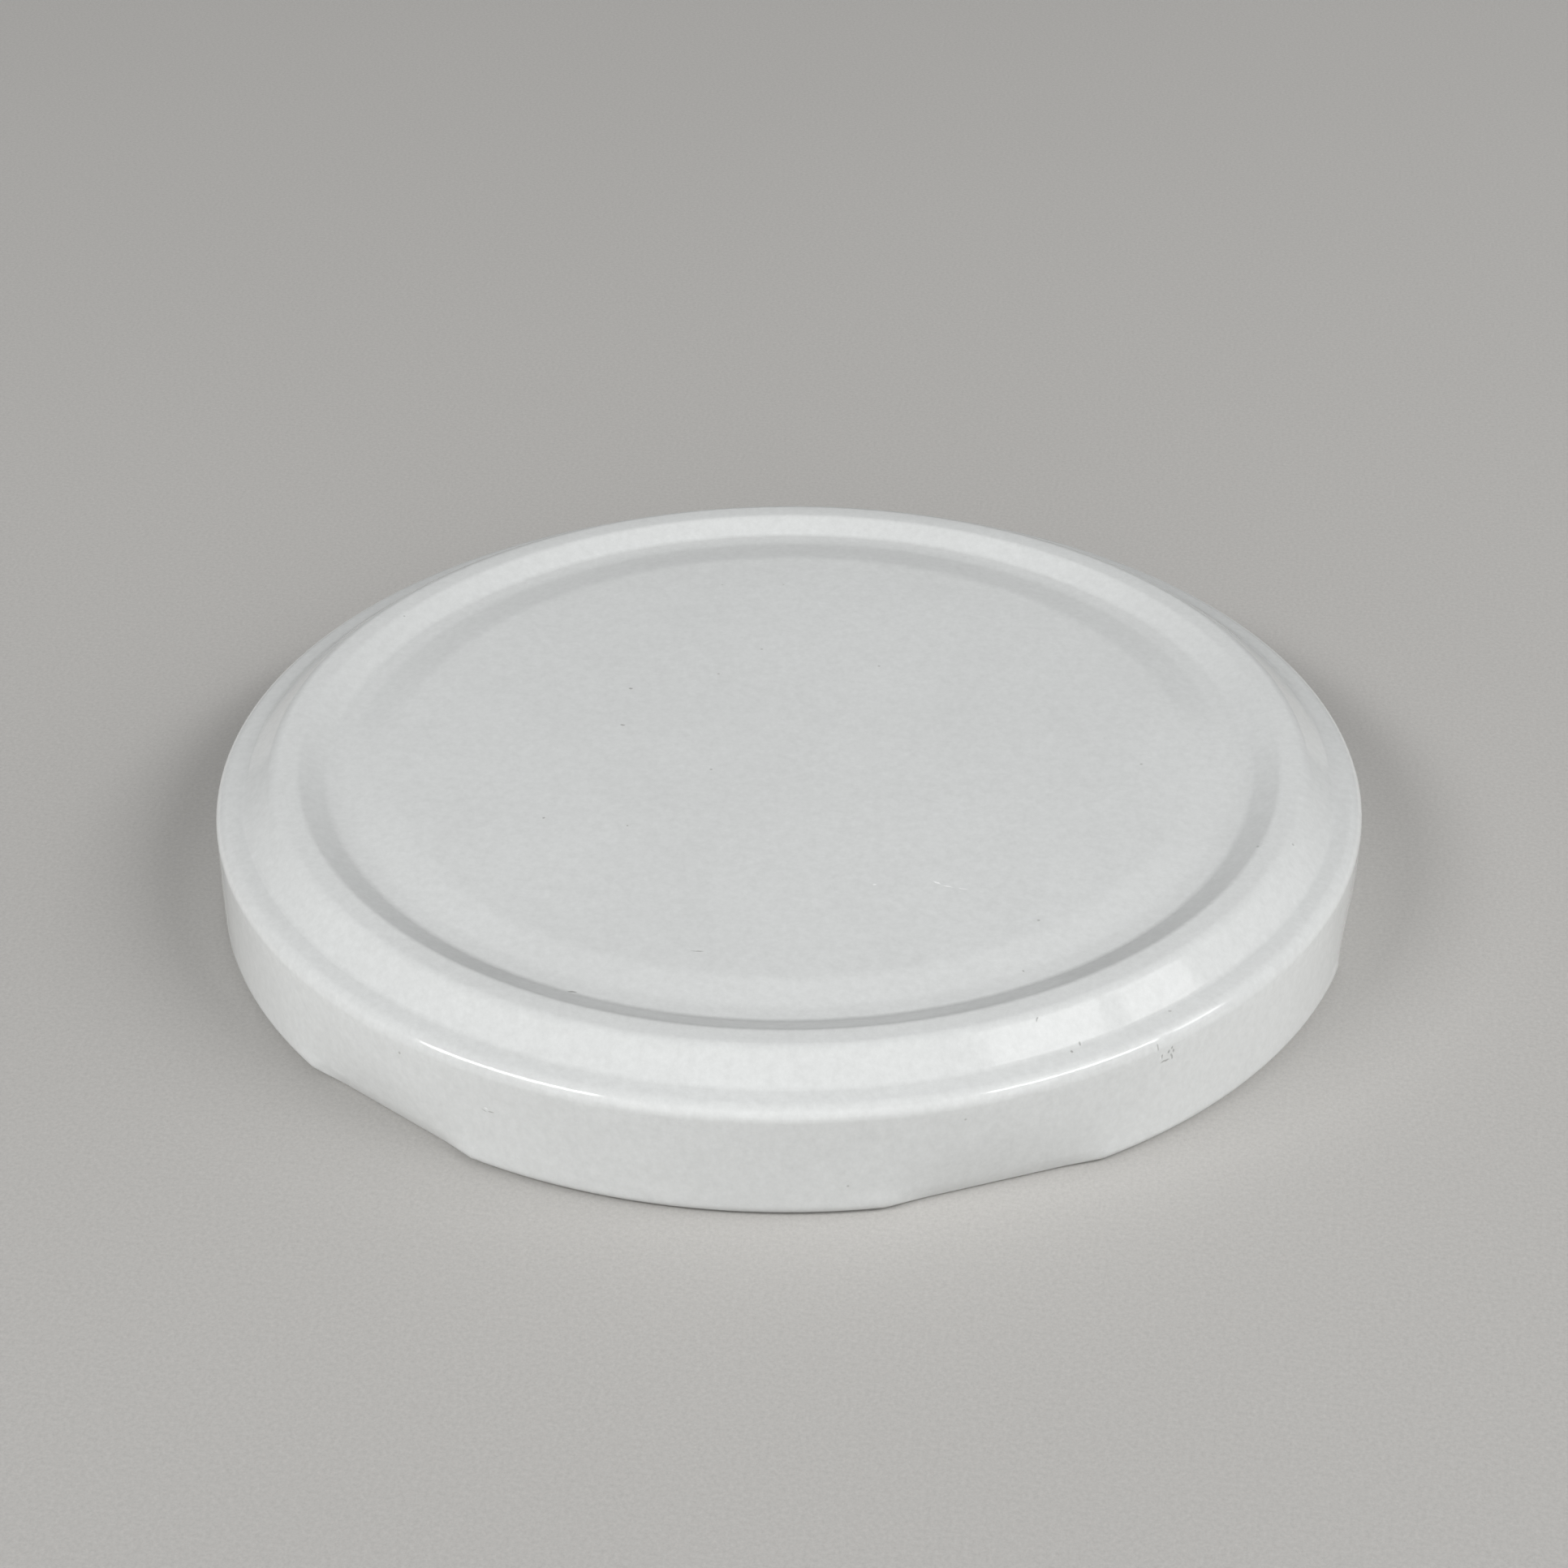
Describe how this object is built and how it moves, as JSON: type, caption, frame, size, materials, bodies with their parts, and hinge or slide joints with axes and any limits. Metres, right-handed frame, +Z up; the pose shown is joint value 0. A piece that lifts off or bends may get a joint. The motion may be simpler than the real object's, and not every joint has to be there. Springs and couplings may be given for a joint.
{
  "type": "twist-off lid",
  "caption": "White lacquered sheet-steel twist-off lid for a wide-mouthed glass jar, with a raised ring, a rolled edge, pressed lugs and a flowed-in seal.",
  "frame": {"origin": "centre of the lid, on the surface that its rolled edge rests on", "axes": "+Z up through the centre panel, +X through the middle of a lug"},
  "size_m": [0.0848, 0.0848, 0.0107],
  "materials": {
    "lacquered_steel": "glossy white lacquer",
    "sealing_compound": "satin"
  },
  "bodies": {
    "root": {"lid_shell": "lacquered_steel", "sealing_ring": "sealing_compound"}
  },
  "joints": []
}
